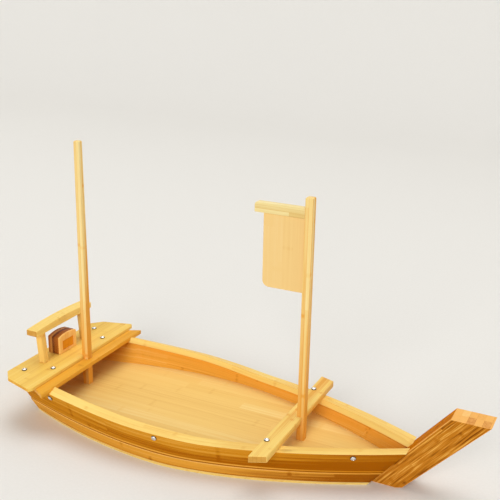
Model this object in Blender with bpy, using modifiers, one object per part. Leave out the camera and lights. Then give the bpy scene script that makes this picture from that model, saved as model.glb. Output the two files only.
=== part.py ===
"""Sushi boat: a flat-bottomed plank hull with a raked stem, two lift-out masts, a flag and a stern gate.

Sizes are in millimetres and are turned into metres in one place. x runs from the stern mast's axis
towards the bow, y to port and z up from the table; the finished boat is centred over the origin.
"""
import math
from dataclasses import dataclass

import bmesh
import bpy
from mathutils import Matrix, Vector

MM = 0.001

# Fits
GAP = 0.3
SCREW_SEAT = 0.15
ARRIS = 0.7
OVERCUT = 1.0

# Stem: one raked timber whose foot stands on the table
STEM_THICK = 32.6
STEM_RISE = 114.7
STEM_FOOT_AFT = 456.0
STEM_FOOT_LENGTH = 34.0
STEM_TOE_RUN = 9.0
STEM_TOE_RISE = 2.7
STEM_TOP_LENGTH = 49.1
STEM_ANGLE = math.radians(50.2)

# Hull boards
BOTTOM_T = 4.0
STRAKE_T = 8.0
LOWER_STRAKE_T = 12.5
LOWER_PROUD = 1.5
BOTTOM_PROUD = 2.0
SEAM_FRACTION = 0.38
FLOOR_T = 8.0
FLOOR_REBATE = 1.36
INWALE_W = 8.0
INWALE_H = 8.0
TRANSOM_T = 8.0
BEAM_SEAT = 0.4
STATIONS = 36

# Sheer: height of the gunwale along the hull
SHEER_LOW_X = 250.0
SHEER_LOW_Z = 47.0
SHEER_BOW_RISE = 9.2
SHEER_STERN_RISE = 16.0
SHEER_POWER = 1.15

# Plan of the hull at the gunwale and at the bottom
TRANSOM_FOOT_X = -42.0
TRANSOM_HEAD_X = -52.5
GUNWALE_WIDE_X = 145.0
GUNWALE_WIDE_Y = 123.9
GUNWALE_STERN_Y = 99.0
GUNWALE_POWERS = (1.5, 1.85)
BOTTOM_WIDE_X = 190.0
BOTTOM_WIDE_Y = 110.5
BOTTOM_STERN_Y = 64.2
BOTTOM_POWERS = (1.92, 1.62)

# Bow beam: its overhangs are measured out from the gunwale
BOW_BEAM_AFT = 331.5
BOW_BEAM_W = 21.7
BOW_BEAM_T = 9.0
BOW_BEAM_AFT_OVERHANG = 29.9
BOW_BEAM_FORE_OVERHANG = 27.7

# Masts, yard and flag
MAST = 10.5
MAST_HEAD_EASE = 1.2
BOW_MAST_INSET = 1.4
BOW_MAST_TOP = 363.0
STERN_MAST_TOP = 398.3
STERN_MAST_TIP = 8.6
STERN_MAST_COLLAR = 3.5
YARD_REACH = 69.25
YARD_W = 9.2
YARD_H = 13.4
YARD_DROP = 14.2
YARD_NOSE = 4.0
FLAG_REACH = 57.25
FLAG_H = 99.6
FLAG_T = 4.0
FLAG_CORNER = 9.0

# Stern beam and platform: their overhangs are measured out from the gunwale and the transom
STERN_BEAM_AFT = -24.0
STERN_BEAM_FORE = 14.5
STERN_BEAM_AFT_T = 4.22
STERN_BEAM_AFT_OVERHANG = 1.8
STERN_BEAM_FORE_OVERHANG = 16.0
PLATFORM_T = 5.0
PLATFORM_TAIL = 15.0
PLATFORM_FORE = -2.0
PLATFORM_SIDE_OVERHANG = 1.0
PLATFORM_CHAMFER_X = 15.0
PLATFORM_CHAMFER_Y = 16.5
PLATFORM_FLARE_Y = 13.8
PLATFORM_NIP_X = 4.0
PLATFORM_NIP_Y = 5.5

# Stern gate
POST = 10.0
POST_H = 45.2
POST_FORE_X = -40.5
POST_Y = 49.5
POST_RAKE = 4.0
LINTEL_END_T = 8.6
LINTEL_CROWN = 3.0
LINTEL_OVERHANG = 11.7
LINTEL_NOSE = 2.2
LINTEL_W = 18.2

# Stern box
BOX_AHEAD = 6.0
BOX_DEPTH = 21.6
BOX_HALF = 20.2
BOX_SIDE_H = 26.5
BOX_CROWN = 3.0
BOX_FRAME_T = 3.0
BOX_FRAME_W = 6.8
BOX_SILL = 4.0
BOX_POCKET = 4.0

# Screws
SCREW_HEAD_R = 3.7
SCREW_HEAD_H = 2.4
SCREW_HEAD_SIDE = 0.8
SCREW_SHANK_R = 1.5
SCREW_TIP_R = 0.75
SCREW_POINT = 2.0
SCREW_HOLE_CLEAR = 0.25
SCREW_BITE = 5.0
SCREW_SEGMENTS = 16
DECK_SCREW_BITE = 4.0
SIDE_SCREW_BITE = 1.5
STERN_SIDE_SCREW_AHEAD = 0.5
STERN_SIDE_SCREW_DROP = 6.4
MID_SIDE_SCREW_X = 193.0
MID_SIDE_SCREW_DROP = 4.9
BOW_SIDE_SCREW_BACK = 60.0
BOW_SIDE_SCREW_DROP = 5.2
BEAM_SCREW_IN = 5.0
AFT_SCREW_IN = 13.4
FORE_SCREW_BACK = 13.5
FORE_SCREW_Y = 61.7

# Sizes that follow from the ones above
STEM_RUN = STEM_RISE / math.tan(STEM_ANGLE)
STEM_TOP_AFT = STEM_FOOT_AFT + STEM_RUN
BOW_END = STEM_TOP_AFT + STEM_TOP_LENGTH
PLATFORM_AFT = TRANSOM_HEAD_X - PLATFORM_TAIL
MIDDLE_X = (PLATFORM_AFT + BOW_END) / 2
TIP_Z = SHEER_LOW_Z + SHEER_BOW_RISE
TIP_X = STEM_FOOT_AFT + TIP_Z / math.tan(STEM_ANGLE)
TIP_HALF = STEM_THICK / 2 + STRAKE_T
HULL_LENGTH = TIP_X - TRANSOM_HEAD_X
T_BOW = 1 - GAP / math.sin(STEM_ANGLE) / (STEM_FOOT_AFT - TRANSOM_FOOT_X)
T_TRANSOM = TRANSOM_T / HULL_LENGTH
T_INSIDE = (TRANSOM_T + 1.5 * GAP) / (STEM_FOOT_AFT - TRANSOM_FOOT_X)
STRAKE_FOOT = BOTTOM_T + GAP
LEDGE_Z = SEAM_FRACTION * SHEER_LOW_Z - FLOOR_REBATE
FLOOR_UNDER = LEDGE_Z + GAP
FLOOR_TOP = FLOOR_UNDER + FLOOR_T
MAST_FOOT = BOTTOM_T + GAP
MAST_CLEAR = MAST / 2 + GAP
BOW_BEAM_FORE = BOW_BEAM_AFT + BOW_BEAM_W
BOW_MAST_X = BOW_BEAM_FORE - BOW_MAST_INSET
BOW_MAST_AFT = BOW_MAST_X - MAST / 2
YARD_TOP = BOW_MAST_TOP - YARD_DROP
YARD_UNDER = YARD_TOP - YARD_H
YARD_FORE = BOW_MAST_AFT - GAP
LINTEL_FORE_X = POST_FORE_X + LINTEL_NOSE
LINTEL_HALF = POST_Y + POST / 2 + LINTEL_OVERHANG
BOX_FORE_X = POST_FORE_X + BOX_AHEAD


def place(x, y, z):
    """Turns a point in millimetres into metres about the finished boat's centre."""
    return Vector(((x - MIDDLE_X) * MM, y * MM, z * MM))


def sheer(x):
    """Height of the gunwale's top at station x."""
    if x >= SHEER_LOW_X:
        u = (x - SHEER_LOW_X) / (TIP_X - SHEER_LOW_X)
        return SHEER_LOW_Z + SHEER_BOW_RISE * u ** SHEER_POWER
    u = (SHEER_LOW_X - x) / (SHEER_LOW_X - TRANSOM_HEAD_X)
    return SHEER_LOW_Z + SHEER_STERN_RISE * u ** SHEER_POWER


@dataclass(frozen=True)
class Outline:
    """Half-breadth of the hull in plan, widest at one station and drawn in to both ends."""

    stern_x: float
    stern_y: float
    wide_x: float
    wide_y: float
    bow_x: float
    bow_y: float
    powers: tuple

    def half(self, x):
        """Half-breadth at station x."""
        if x >= self.wide_x:
            u = (x - self.wide_x) / (self.bow_x - self.wide_x)
            return self.wide_y - (self.wide_y - self.bow_y) * u ** self.powers[1]
        u = (self.wide_x - x) / (self.wide_x - self.stern_x)
        return self.wide_y - (self.wide_y - self.stern_y) * u ** self.powers[0]

    def slope(self, x):
        """Change of half-breadth per unit of length at station x."""
        step = 0.05
        ahead = min(x + step, self.bow_x)
        behind = max(x - step, self.stern_x)
        return (self.half(ahead) - self.half(behind)) / (ahead - behind)

    def station(self, t):
        """Station at fraction t of the outline's length."""
        return self.stern_x + t * (self.bow_x - self.stern_x)


GUNWALE = Outline(TRANSOM_HEAD_X, GUNWALE_STERN_Y, GUNWALE_WIDE_X, GUNWALE_WIDE_Y, TIP_X, TIP_HALF,
                  GUNWALE_POWERS)
BOTTOM = Outline(TRANSOM_FOOT_X, BOTTOM_STERN_Y, BOTTOM_WIDE_X, BOTTOM_WIDE_Y, STEM_FOOT_AFT, TIP_HALF,
                 BOTTOM_POWERS)

# Sizes that follow from the hull's curves
STERN_BEAM_TOP = sheer(STERN_BEAM_AFT) + BEAM_SEAT + GAP + STERN_BEAM_AFT_T
PLATFORM_UNDER = STERN_BEAM_TOP + GAP
PLATFORM_TOP = PLATFORM_UNDER + PLATFORM_T
POST_FOOT = PLATFORM_TOP + GAP
LINTEL_UNDER = POST_FOOT + POST_H + GAP
BOX_FOOT = PLATFORM_TOP + GAP


def top_of_side(t):
    """Height of the hull side at fraction t of its length."""
    return sheer(GUNWALE.station(t))


def square_rise(t, inset):
    """Rise of a square-cut top edge at a distance in from the flared side's outer corner."""
    flare = (GUNWALE.half(GUNWALE.station(t)) - BOTTOM.half(BOTTOM.station(t))) / top_of_side(t)
    return inset * flare / (1 + flare * flare)


def hull_point(t, z, inset):
    """Point of the ruled hull side at fraction t and height z, moved in from its outer face."""
    x_low = BOTTOM.station(t)
    x_high = GUNWALE.station(t)
    f = z / top_of_side(t)
    slope = (1 - f) * BOTTOM.slope(x_low) + f * GUNWALE.slope(x_high)
    x = x_low + f * (x_high - x_low)
    y = BOTTOM.half(x_low) + f * (GUNWALE.half(x_high) - BOTTOM.half(x_low))
    return x, y - inset * math.sqrt(1 + slope * slope), z


def fraction_at(x, drop):
    """Fraction of the hull's length whose side has station x at a given drop below the gunwale."""
    low = 0.0
    high = 1.0
    for _ in range(60):
        mid = (low + high) / 2
        if hull_point(mid, top_of_side(mid) - drop, 0.0)[0] < x:
            low = mid
        else:
            high = mid
    return (low + high) / 2


def steps(start, end, count):
    """Evenly spaced values from start to end."""
    return [start + (end - start) * i / count for i in range(count + 1)]


def clear_scene():
    """Empties the scene."""
    for item in list(bpy.data.objects):
        bpy.data.objects.remove(item, do_unlink=True)
    for group in list(bpy.data.collections):
        bpy.data.collections.remove(group)


def new_collection(name):
    """Adds a collection to the scene."""
    group = bpy.data.collections.new(name)
    bpy.context.scene.collection.children.link(group)
    return group


clear_scene()
PARTS = new_collection("sushi_boat")
CUTTERS = new_collection("cutters")


def finish_of(name, colour, roughness, metallic=0.0):
    """A plain surface finish."""
    mat = bpy.data.materials.new(name)
    mat.use_nodes = True
    shader = mat.node_tree.nodes["Principled BSDF"]
    shader.inputs["Base Color"].default_value = (*colour, 1.0)
    shader.inputs["Roughness"].default_value = roughness
    shader.inputs["Metallic"].default_value = metallic
    return mat


PALE = finish_of("varnished_pale_bamboo", (0.80, 0.58, 0.24), 0.40)
CREAM = finish_of("varnished_cream_bamboo", (0.86, 0.66, 0.36), 0.42)
GOLD = finish_of("varnished_gold_bamboo", (0.66, 0.36, 0.08), 0.38)
BROWN = finish_of("carbonised_bamboo", (0.32, 0.14, 0.05), 0.45)
STEEL = finish_of("bright_screw_steel", (0.78, 0.77, 0.75), 0.28, 1.0)


def make(name, verts, faces, mat, origin=None, smooth=False, group=None):
    """Makes one closed object from points in metres, its origin on the given point."""
    base = origin if origin is not None else Vector((0.0, 0.0, 0.0))
    bm = bmesh.new()
    points = [bm.verts.new(v - base) for v in verts]
    for face in faces:
        bm.faces.new([points[i] for i in face])
    bmesh.ops.recalc_face_normals(bm, faces=bm.faces[:])
    mesh = bpy.data.meshes.new(name)
    bm.to_mesh(mesh)
    bm.free()
    if mat is not None:
        mesh.materials.append(mat)
    for polygon in mesh.polygons:
        polygon.use_smooth = smooth
    if smooth:
        mesh.set_sharp_from_angle(angle=math.radians(35))
    obj = bpy.data.objects.new(name, mesh)
    obj.location = base
    (group or PARTS).objects.link(obj)
    return obj


def loft(name, sections, mat, origin=None, smooth=False):
    """Joins closed sections of equal count into one capped body."""
    count = len(sections[0])
    verts = [place(*point) for section in sections for point in section]
    faces = [list(range(count)), list(range(len(verts) - count, len(verts)))]
    for row in range(len(sections) - 1):
        for i in range(count):
            j = (i + 1) % count
            faces.append([row * count + i, row * count + j, (row + 1) * count + j, (row + 1) * count + i])
    return make(name, verts, faces, mat, origin, smooth)


def board(name, outline, under, top, mat):
    """A board with a plan outline whose two faces are heights given as functions of x."""
    low = [(x, y, under(x)) for x, y in outline]
    high = [(x, y, top(x)) for x, y in outline]
    return loft(name, [low, high], mat)


def level(z):
    """A face at one height."""
    return lambda x: z


def incline(x_a, z_a, x_b, z_b):
    """A face that runs straight between two stations."""
    return lambda x: z_a + (z_b - z_a) * (x - x_a) / (x_b - x_a)


def bar(name, low, high, mat, origin=None):
    """A square-cut bar between two corners."""
    (x0, y0, z0), (x1, y1, z1) = low, high
    near = [(x0, y0, z0), (x1, y0, z0), (x1, y1, z0), (x0, y1, z0)]
    far = [(x0, y0, z1), (x1, y0, z1), (x1, y1, z1), (x0, y1, z1)]
    return loft(name, [near, far], mat, origin)


def break_edges(obj, width=ARRIS, segments=2):
    """Rounds the board's sharp edges."""
    bevel = obj.modifiers.new("arris", "BEVEL")
    bevel.width = width * MM
    bevel.segments = segments
    bevel.limit_method = "ANGLE"
    bevel.angle_limit = math.radians(25)
    return obj


def cut(obj, cutter):
    """Takes the cutter's shape out of the object."""
    op = obj.modifiers.new("cut_" + cutter.name, "BOOLEAN")
    op.operation = "DIFFERENCE"
    op.solver = "EXACT"
    op.object = cutter


def as_cutter(obj):
    """Keeps a body as a cutter only."""
    for group in list(obj.users_collection):
        group.objects.unlink(obj)
    CUTTERS.objects.link(obj)
    obj.hide_render = True
    obj.display_type = "WIRE"
    return obj


def both_sides():
    """Names and signs of the two sides."""
    return (("stbd", -1.0), ("port", 1.0))


def sided(section, sign):
    """A section moved to one side of the boat."""
    return [(x, sign * y, z) for x, y, z in section]


def lower_strake(name, sign):
    """Thick lower strake: proud outside, rebated inside for the floor."""
    sections = []
    for t in steps(0.0, T_BOW, STATIONS):
        seam = SEAM_FRACTION * top_of_side(t)
        inner = STRAKE_T + GAP
        sections.append(sided([
            hull_point(t, STRAKE_FOOT, -LOWER_PROUD),
            hull_point(t, seam - ARRIS, -LOWER_PROUD),
            hull_point(t, seam, -LOWER_PROUD + ARRIS),
            hull_point(t, seam, inner),
            hull_point(t, LEDGE_Z, inner),
            hull_point(t, LEDGE_Z, LOWER_STRAKE_T),
            hull_point(t, STRAKE_FOOT, LOWER_STRAKE_T),
        ], sign))
    return loft(name, sections, GOLD, smooth=True)


def upper_strake(name, sign):
    """Flared upper strake standing on the lower one, its top edge cut square to its faces."""
    sections = []
    for t in steps(0.0, T_BOW, STATIONS):
        top = top_of_side(t)
        foot = SEAM_FRACTION * top + GAP
        sections.append(sided([
            hull_point(t, foot, 0.0),
            hull_point(t, top - ARRIS, 0.0),
            hull_point(t, top + square_rise(t, ARRIS), ARRIS),
            hull_point(t, top + square_rise(t, STRAKE_T), STRAKE_T),
            hull_point(t, foot, STRAKE_T),
        ], sign))
    return loft(name, sections, GOLD, smooth=True)


def inwale(name, sign):
    """Strip along the inside of the gunwale that doubles its width, square cut like the strake."""
    sections = []
    outer = STRAKE_T + GAP
    inner = outer + INWALE_W
    for t in steps(T_INSIDE, T_BOW, STATIONS):
        out_top = top_of_side(t) + square_rise(t, outer)
        in_top = top_of_side(t) + square_rise(t, inner)
        ease = square_rise(t, ARRIS)
        sections.append(sided([
            hull_point(t, out_top - INWALE_H, outer),
            hull_point(t, out_top, outer),
            hull_point(t, in_top - ease, inner - ARRIS),
            hull_point(t, in_top - ARRIS, inner),
            hull_point(t, in_top - INWALE_H + ARRIS, inner),
            hull_point(t, in_top - ease - INWALE_H, inner - ARRIS),
        ], sign))
    return loft(name, sections, PALE, smooth=True)


def sided_outline(half):
    """Closes a half plan outline about the boat's middle line."""
    return [(x, -y) for x, y in half] + list(reversed(half))


def full_breadth(points):
    """Closes a half section across the boat."""
    return sided(points, -1.0) + list(reversed(sided(points, 1.0)))


def bottom_board():
    """Flat bottom the boat stands on."""
    sections = [full_breadth([hull_point(t, 0.0, -BOTTOM_PROUD), hull_point(t, BOTTOM_T, -BOTTOM_PROUD)])
                for t in steps(0.0, T_BOW, STATIONS)]
    return loft("bottom_board", sections, PALE)


def floor_board():
    """Floor of the tray, let in between the strakes on their ledges."""
    inset = STRAKE_T + 2 * GAP
    sections = [full_breadth([hull_point(t, FLOOR_UNDER, inset), hull_point(t, FLOOR_TOP, inset)])
                for t in steps(T_INSIDE, T_BOW, STATIONS)]
    return loft("floor_board", sections, CREAM)


def transom():
    """End board between the strakes that also carries the platform."""
    low_inset = LOWER_STRAKE_T + GAP
    high_inset = STRAKE_T + 2 * GAP
    sections = []
    for t in (0.0, T_TRANSOM):
        sections.append(full_breadth([
            hull_point(t, STRAKE_FOOT, low_inset),
            hull_point(t, FLOOR_UNDER, low_inset),
            hull_point(t, FLOOR_UNDER, high_inset),
            hull_point(t, STERN_BEAM_TOP, high_inset),
        ]))
    return loft("transom", sections, GOLD)


def stem():
    """Raked stem timber, its top cut level and its toe nipped."""
    profile = [
        (STEM_FOOT_AFT, 0.0),
        (STEM_FOOT_AFT + STEM_FOOT_LENGTH, 0.0),
        (STEM_FOOT_AFT + STEM_FOOT_LENGTH + STEM_TOE_RUN, STEM_TOE_RISE),
        (BOW_END, STEM_RISE),
        (STEM_TOP_AFT, STEM_RISE),
    ]
    sections = [[(x, y, z) for x, z in profile] for y in (-STEM_THICK / 2, STEM_THICK / 2)]
    return break_edges(loft("stem", sections, GOLD))


def beam_seat(name, x_aft, x_fore, aft_end, fore_end):
    """Cutter that levels the gunwales between two ends for a beam, and the beam's under face."""
    seat = incline(x_aft, sheer(x_aft) + BEAM_SEAT, x_fore, sheer(x_fore) + BEAM_SEAT)
    reach = GUNWALE_WIDE_Y + OVERCUT
    outline = [(aft_end, -reach), (fore_end, -reach), (fore_end, reach), (aft_end, reach)]
    cutter = as_cutter(board(name, outline, seat, lambda x: seat(x) + STRAKE_T + INWALE_W, None))
    return cutter, lambda x: seat(x) + GAP


def bow_beam(under):
    """Cross beam on the gunwales with an open notch for the mast in its fore edge."""
    notch = BOW_MAST_AFT - GAP
    half = [
        (BOW_BEAM_AFT, GUNWALE.half(BOW_BEAM_AFT) + BOW_BEAM_AFT_OVERHANG),
        (BOW_BEAM_FORE, GUNWALE.half(BOW_BEAM_FORE) + BOW_BEAM_FORE_OVERHANG),
        (BOW_BEAM_FORE, MAST_CLEAR),
        (notch, MAST_CLEAR),
    ]
    outline = sided_outline(half)
    return break_edges(board("bow_beam", outline, under, lambda x: under(x) + BOW_BEAM_T, CREAM))


def stern_beam(under):
    """Cross board on the gunwales under the platform."""
    half = [
        (STERN_BEAM_AFT, GUNWALE.half(STERN_BEAM_AFT) + STERN_BEAM_AFT_OVERHANG),
        (STERN_BEAM_FORE, GUNWALE.half(STERN_BEAM_FORE) + STERN_BEAM_FORE_OVERHANG),
    ]
    return break_edges(board("stern_beam", sided_outline(half), under, level(STERN_BEAM_TOP), PALE))


def stern_platform():
    """Flared stern platform with cut corners, notched round the stern mast."""
    notch = -MAST_CLEAR
    aft_half = GUNWALE_STERN_Y + PLATFORM_SIDE_OVERHANG
    wide = aft_half + PLATFORM_CHAMFER_Y
    half = [
        (PLATFORM_AFT, aft_half),
        (PLATFORM_AFT + PLATFORM_CHAMFER_X, wide),
        (PLATFORM_FORE - PLATFORM_NIP_X, wide + PLATFORM_FLARE_Y),
        (PLATFORM_FORE, wide + PLATFORM_FLARE_Y - PLATFORM_NIP_Y),
        (PLATFORM_FORE, MAST_CLEAR),
        (notch, MAST_CLEAR),
    ]
    return break_edges(board("stern_platform", sided_outline(half), level(PLATFORM_UNDER), level(PLATFORM_TOP), PALE))


def gate_post(name, sign):
    """Upright of the stern gate, raked a little aft."""
    sections = []
    for z, x in ((POST_FOOT, POST_FORE_X + POST_RAKE), (POST_FOOT + POST_H, POST_FORE_X)):
        y = sign * POST_Y - POST / 2
        sections.append([(x - POST, y, z), (x, y, z), (x, y + POST, z), (x - POST, y + POST, z)])
    return break_edges(loft(name, sections, PALE))


def crowned(half, foot, shoulder, crown, count):
    """Profile across the boat with a straight foot and a crowned top."""
    profile = [(-half, foot), (half, foot)]
    for i in range(count + 1):
        y = half - 2 * half * i / count
        profile.append((y, shoulder + crown * (1 - (y / half) ** 2)))
    return profile


def across(name, profile, x_aft, x_fore, mat):
    """Carries a profile across the boat from one station to another."""
    return loft(name, [[(x, y, z) for y, z in profile] for x in (x_aft, x_fore)], mat)


def gate_lintel():
    """Crowned head board of the gate."""
    profile = crowned(LINTEL_HALF, LINTEL_UNDER, LINTEL_UNDER + LINTEL_END_T, LINTEL_CROWN, 14)
    return break_edges(across("gate_lintel", profile, LINTEL_FORE_X - LINTEL_W, LINTEL_FORE_X, PALE))


def stern_box():
    """Box with a crowned top between the gate posts, pocketed behind its frame."""
    profile = crowned(BOX_HALF, BOX_FOOT, BOX_FOOT + BOX_SIDE_H, BOX_CROWN, 10)
    front = BOX_FORE_X - BOX_FRAME_T - GAP
    body = break_edges(across("stern_box", profile, BOX_FORE_X - BOX_DEPTH, front, BROWN))
    frame = break_edges(across("stern_box_frame", profile, BOX_FORE_X - BOX_FRAME_T, BOX_FORE_X, PALE))
    opening = BOX_HALF - BOX_FRAME_W
    head = BOX_FOOT + BOX_SIDE_H - BOX_FRAME_W
    pocket = as_cutter(bar("box_pocket", (front - BOX_POCKET, -opening, BOX_FOOT + BOX_SILL),
                           (BOX_FORE_X + OVERCUT, opening, head), None))
    cut(body, pocket)
    cut(frame, pocket)
    return body, frame


def spar(name, x, sizes):
    """Square spar at station x, through heights with their side lengths, that pivots on its foot."""
    sections = []
    for z, side in sizes:
        h = side / 2
        sections.append([(x - h, -h, z), (x + h, -h, z), (x + h, h, z), (x - h, h, z)])
    return break_edges(loft(name, sections, CREAM, place(x, 0.0, MAST_FOOT)))


def bow_mast():
    """Square bow mast, stepped through the floor onto the bottom."""
    return spar("bow_mast", BOW_MAST_X, ((MAST_FOOT, MAST), (BOW_MAST_TOP - MAST_HEAD_EASE, MAST),
                                         (BOW_MAST_TOP, MAST - 2 * MAST_HEAD_EASE)))


def stern_mast():
    """Square stern mast that tapers from the platform to its head."""
    collar = PLATFORM_TOP + STERN_MAST_COLLAR
    return spar("stern_mast", 0.0, ((MAST_FOOT, MAST), (collar, MAST),
                                    (STERN_MAST_TOP - MAST_HEAD_EASE, STERN_MAST_TIP),
                                    (STERN_MAST_TOP, STERN_MAST_TIP - 2 * MAST_HEAD_EASE)))


def yard():
    """Yard running aft from the head of the bow mast, its upper end rounded."""
    aft = YARD_FORE - YARD_REACH
    profile = [(aft, YARD_UNDER), (YARD_FORE, YARD_UNDER), (YARD_FORE, YARD_TOP)]
    for a in steps(0.5 * math.pi, math.pi, 6):
        profile.append((aft + YARD_NOSE * (1 + math.cos(a)), YARD_TOP - YARD_NOSE * (1 - math.sin(a))))
    return break_edges(loft("yard", [[(x, y, z) for x, z in profile] for y in (-YARD_W / 2, YARD_W / 2)], CREAM))


def flag_board():
    """Thin flag under the yard with one rounded corner."""
    head = YARD_UNDER - GAP
    foot = head - FLAG_H
    aft = YARD_FORE - FLAG_REACH
    profile = [(YARD_FORE, foot), (YARD_FORE, head), (aft, head)]
    for a in steps(math.pi, 1.5 * math.pi, 8):
        profile.append((aft + FLAG_CORNER * (1 + math.cos(a)), foot + FLAG_CORNER * (1 + math.sin(a))))
    sections = [[(x, y, z) for x, z in profile] for y in (-FLAG_T / 2, FLAG_T / 2)]
    return break_edges(loft("flag_board", sections, CREAM), 0.5)


def turned(name, profile, foot, direction, mat, group=None):
    """Turns a profile of radius and height about an axis through the foot point."""
    turn = direction.to_track_quat("Z", "Y").to_matrix()
    verts = []
    rings = []
    for radius, height in profile:
        if radius == 0.0:
            rings.append([len(verts)])
            verts.append(foot + turn @ Vector((0.0, 0.0, height * MM)))
            continue
        ring = []
        for i in range(SCREW_SEGMENTS):
            a = 2 * math.pi * i / SCREW_SEGMENTS
            ring.append(len(verts))
            verts.append(foot + turn @ Vector((radius * math.cos(a), radius * math.sin(a), height)) * MM)
        rings.append(ring)
    faces = []
    for a, b in zip(rings, rings[1:]):
        for i in range(SCREW_SEGMENTS):
            j = (i + 1) % SCREW_SEGMENTS
            quad = [a[i % len(a)], a[j % len(a)], b[j % len(b)], b[i % len(b)]]
            faces.append(list(dict.fromkeys(quad)))
    return make(name, verts, faces, mat, smooth=True, group=group)


def screw(name, seat, direction, depth, boards):
    """Pan-head screw on a face point, with its hole drilled through the boards."""
    head = seat + direction * SCREW_SEAT * MM
    crown = SCREW_HEAD_H - SCREW_HEAD_SIDE
    profile = [(0.0, -depth), (SCREW_TIP_R, -depth), (SCREW_SHANK_R, SCREW_POINT - depth),
               (SCREW_SHANK_R, 0.0), (SCREW_HEAD_R, 0.0)]
    for a in steps(0.0, math.radians(67.5), 3):
        profile.append((SCREW_HEAD_R * math.cos(a), SCREW_HEAD_SIDE + crown * math.sin(a)))
    profile.append((0.0, SCREW_HEAD_H))
    turned(name, profile, head, direction, STEEL)
    radius = SCREW_SHANK_R + SCREW_HOLE_CLEAR
    bore = [(0.0, -depth - GAP), (radius, -depth - GAP), (radius, OVERCUT), (0.0, OVERCUT)]
    cutter = as_cutter(turned(name + "_bore", bore, head, direction, None))
    for obj in boards:
        cut(obj, cutter)


def side_screw_seat(x, drop, sign):
    """Point and outward direction on the hull side for a screw into the inwale."""
    t = fraction_at(x, drop)
    z = top_of_side(t) - drop
    here = Vector(hull_point(t, z, 0.0))
    along = Vector(hull_point(t + 0.002, z, 0.0)) - Vector(hull_point(t - 0.002, z, 0.0))
    up = Vector(hull_point(t, z + 1.0, 0.0)) - Vector(hull_point(t, z - 1.0, 0.0))
    out = up.cross(along).normalized()
    if out.y < 0:
        out = -out
    here.y *= sign
    out.y *= sign
    return place(*here), out


def build():
    """Builds every piece of the boat."""
    bottom_board()
    floor = floor_board()
    end_board = transom()
    stem()
    uppers = {}
    strips = {}
    for side, sign in both_sides():
        lower_strake("lower_strake_" + side, sign)
        uppers[side] = upper_strake("upper_strake_" + side, sign)
        strips[side] = inwale("inwale_" + side, sign)
    bow_seat, bow_under = beam_seat("bow_beam_seat", BOW_BEAM_AFT, BOW_BEAM_FORE,
                                    BOW_BEAM_AFT - GAP, BOW_BEAM_FORE + GAP)
    stern_seat, stern_under = beam_seat("stern_beam_seat", STERN_BEAM_AFT, STERN_BEAM_FORE,
                                        PLATFORM_AFT, STERN_BEAM_FORE + GAP)
    for plank in (*uppers.values(), *strips.values()):
        cut(plank, bow_seat)
        cut(plank, stern_seat)
    cross_bow = bow_beam(bow_under)
    cross_stern = stern_beam(stern_under)
    deck = stern_platform()
    for side, sign in both_sides():
        gate_post("gate_post_" + side, sign)
    gate_lintel()
    stern_box()
    fore_mast = bow_mast()
    for child in (yard(), flag_board()):
        child.parent = fore_mast
        child.matrix_parent_inverse = Matrix.Translation(-fore_mast.location)
    stern_mast()
    for name, x in (("bow_mast_hole", BOW_MAST_X), ("stern_mast_hole", 0.0)):
        hole = as_cutter(bar(name, (x - MAST_CLEAR, -MAST_CLEAR, FLOOR_UNDER - OVERCUT),
                             (x + MAST_CLEAR, MAST_CLEAR, FLOOR_TOP + OVERCUT), None))
        cut(floor, hole)
    hole = as_cutter(bar("stern_beam_hole", (-MAST_CLEAR, -MAST_CLEAR, SHEER_LOW_Z),
                         (MAST_CLEAR, MAST_CLEAR, PLATFORM_TOP), None))
    cut(cross_stern, hole)
    up = Vector((0.0, 0.0, 1.0))
    beam_x = BOW_BEAM_AFT + BEAM_SCREW_IN
    t_beam = fraction_at(beam_x, 0.0)
    beam_y = hull_point(t_beam, top_of_side(t_beam), STRAKE_T + GAP + INWALE_W / 2)[1]
    aft_x = TRANSOM_HEAD_X + TRANSOM_T / 2
    aft_y = GUNWALE_STERN_Y - AFT_SCREW_IN
    fore_x = PLATFORM_FORE - FORE_SCREW_BACK
    side_screws = (
        ("stern", STERN_BEAM_FORE + STERN_SIDE_SCREW_AHEAD, STERN_SIDE_SCREW_DROP),
        ("mid", MID_SIDE_SCREW_X, MID_SIDE_SCREW_DROP),
        ("bow", TIP_X - BOW_SIDE_SCREW_BACK, BOW_SIDE_SCREW_DROP),
    )
    for side, sign in both_sides():
        screw("beam_screw_" + side, place(beam_x, sign * beam_y, bow_under(beam_x) + BOW_BEAM_T), up,
              BOW_BEAM_T + SCREW_BITE, (cross_bow, strips[side]))
        screw("platform_screw_aft_" + side, place(aft_x, sign * aft_y, PLATFORM_TOP), up,
              PLATFORM_T + SCREW_BITE, (deck, end_board))
        screw("platform_screw_fore_" + side, place(fore_x, sign * FORE_SCREW_Y, PLATFORM_TOP), up,
              PLATFORM_T + DECK_SCREW_BITE, (deck, cross_stern))
        for where, x, drop in side_screws:
            seat, out = side_screw_seat(x, drop, sign)
            screw("side_screw_" + where + "_" + side, seat, out, STRAKE_T + SIDE_SCREW_BITE,
                  (uppers[side], strips[side]))


build()
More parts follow.
